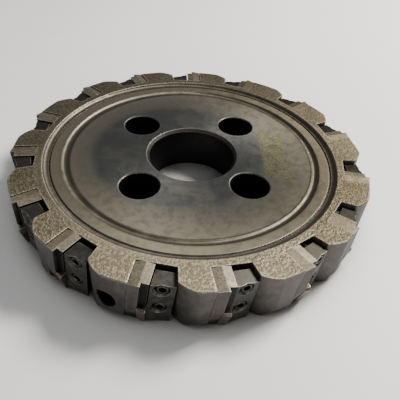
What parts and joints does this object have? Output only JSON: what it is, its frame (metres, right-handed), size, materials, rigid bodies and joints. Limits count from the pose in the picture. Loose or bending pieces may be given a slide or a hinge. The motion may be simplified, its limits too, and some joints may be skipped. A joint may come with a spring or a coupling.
{
  "type": "face mill",
  "caption": "Flat round inserted-tooth milling cutter: disc with bore and bolt circle, rim of slots holding insert cartridges and screwed wedge blocks.",
  "frame": {"origin": "on the bore axis, in the plane of the hub's underside", "axes": "+Z along the bore axis, out of the recessed hub face; +X and +Y across the disc"},
  "size_m": [0.2454, 0.2459, 0.0348],
  "materials": {
    "cutter_body": "worn, turned",
    "cartridge": "worn, ground",
    "insert": "oxide coated, used",
    "wedge": "blackened",
    "wedge_screws": "blackened"
  },
  "bodies": {
    "mill": {"cutter_body": "cutter_body", "cartridge_01": "cartridge", "cartridge_02": "cartridge", "cartridge_03": "cartridge", "cartridge_04": "cartridge", "cartridge_05": "cartridge", "cartridge_06": "cartridge", "cartridge_07": "cartridge", "cartridge_08": "cartridge", "cartridge_09": "cartridge", "cartridge_10": "cartridge", "cartridge_11": "cartridge", "cartridge_12": "cartridge", "cartridge_13": "cartridge", "cartridge_14": "cartridge", "cartridge_15": "cartridge", "insert_01": "insert", "insert_02": "insert", "insert_03": "insert", "insert_04": "insert", "insert_05": "insert", "insert_06": "insert", "insert_07": "insert", "insert_08": "insert", "insert_09": "insert", "insert_10": "insert", "insert_11": "insert", "insert_12": "insert", "insert_13": "insert", "insert_14": "insert", "insert_15": "insert", "wedge_screws": "wedge_screws"},
    "wedge_01": {"wedge_01": "wedge"},
    "wedge_02": {"wedge_02": "wedge"},
    "wedge_03": {"wedge_03": "wedge"},
    "wedge_04": {"wedge_04": "wedge"},
    "wedge_05": {"wedge_05": "wedge"},
    "wedge_06": {"wedge_06": "wedge"},
    "wedge_07": {"wedge_07": "wedge"},
    "wedge_08": {"wedge_08": "wedge"},
    "wedge_09": {"wedge_09": "wedge"},
    "wedge_10": {"wedge_10": "wedge"},
    "wedge_11": {"wedge_11": "wedge"},
    "wedge_12": {"wedge_12": "wedge"},
    "wedge_13": {"wedge_13": "wedge"},
    "wedge_14": {"wedge_14": "wedge"},
    "wedge_15": {"wedge_15": "wedge"}
  },
  "joints": [
    {"name": "wedge_01_slide", "type": "slide", "parent": "mill", "child": "wedge_01", "axis": [-0.9544, -0.2984, -0.0118], "range_m": [0, 0.0015]},
    {"name": "wedge_02_slide", "type": "slide", "parent": "mill", "child": "wedge_02", "axis": [-0.7389, -0.6738, -0.0118], "range_m": [0, 0.0015]},
    {"name": "wedge_03_slide", "type": "slide", "parent": "mill", "child": "wedge_03", "axis": [-0.4248, -0.9052, -0.0118], "range_m": [0, 0.0015]},
    {"name": "wedge_04_slide", "type": "slide", "parent": "mill", "child": "wedge_04", "axis": [-0.0111, -0.9999, -0.0118], "range_m": [0, 0.0015]},
    {"name": "wedge_05_slide", "type": "slide", "parent": "mill", "child": "wedge_05", "axis": [0.3561, -0.9344, -0.0118], "range_m": [0, 0.0015]},
    {"name": "wedge_06_slide", "type": "slide", "parent": "mill", "child": "wedge_06", "axis": [0.6991, -0.7149, -0.0118], "range_m": [0, 0.0015]},
    {"name": "wedge_07_slide", "type": "slide", "parent": "mill", "child": "wedge_07", "axis": [0.9089, -0.4169, -0.0118], "range_m": [0, 0.0015]},
    {"name": "wedge_08_slide", "type": "slide", "parent": "mill", "child": "wedge_08", "axis": [0.9999, 0.0063, -0.0118], "range_m": [0, 0.0015]},
    {"name": "wedge_09_slide", "type": "slide", "parent": "mill", "child": "wedge_09", "axis": [0.8959, 0.444, -0.0118], "range_m": [0, 0.0015]},
    {"name": "wedge_10_slide", "type": "slide", "parent": "mill", "child": "wedge_10", "axis": [0.6312, 0.7756, -0.0118], "range_m": [0, 0.0015]},
    {"name": "wedge_11_slide", "type": "slide", "parent": "mill", "child": "wedge_11", "axis": [0.2103, 0.9776, -0.0118], "range_m": [0, 0.0015]},
    {"name": "wedge_12_slide", "type": "slide", "parent": "mill", "child": "wedge_12", "axis": [-0.2055, 0.9786, -0.0118], "range_m": [0, 0.0015]},
    {"name": "wedge_13_slide", "type": "slide", "parent": "mill", "child": "wedge_13", "axis": [-0.5998, 0.8, -0.0118], "range_m": [0, 0.0015]},
    {"name": "wedge_14_slide", "type": "slide", "parent": "mill", "child": "wedge_14", "axis": [-0.8648, 0.5021, -0.0118], "range_m": [0, 0.0015]},
    {"name": "wedge_15_slide", "type": "slide", "parent": "mill", "child": "wedge_15", "axis": [-0.9959, 0.0896, -0.0118], "range_m": [0, 0.0015]}
  ]
}
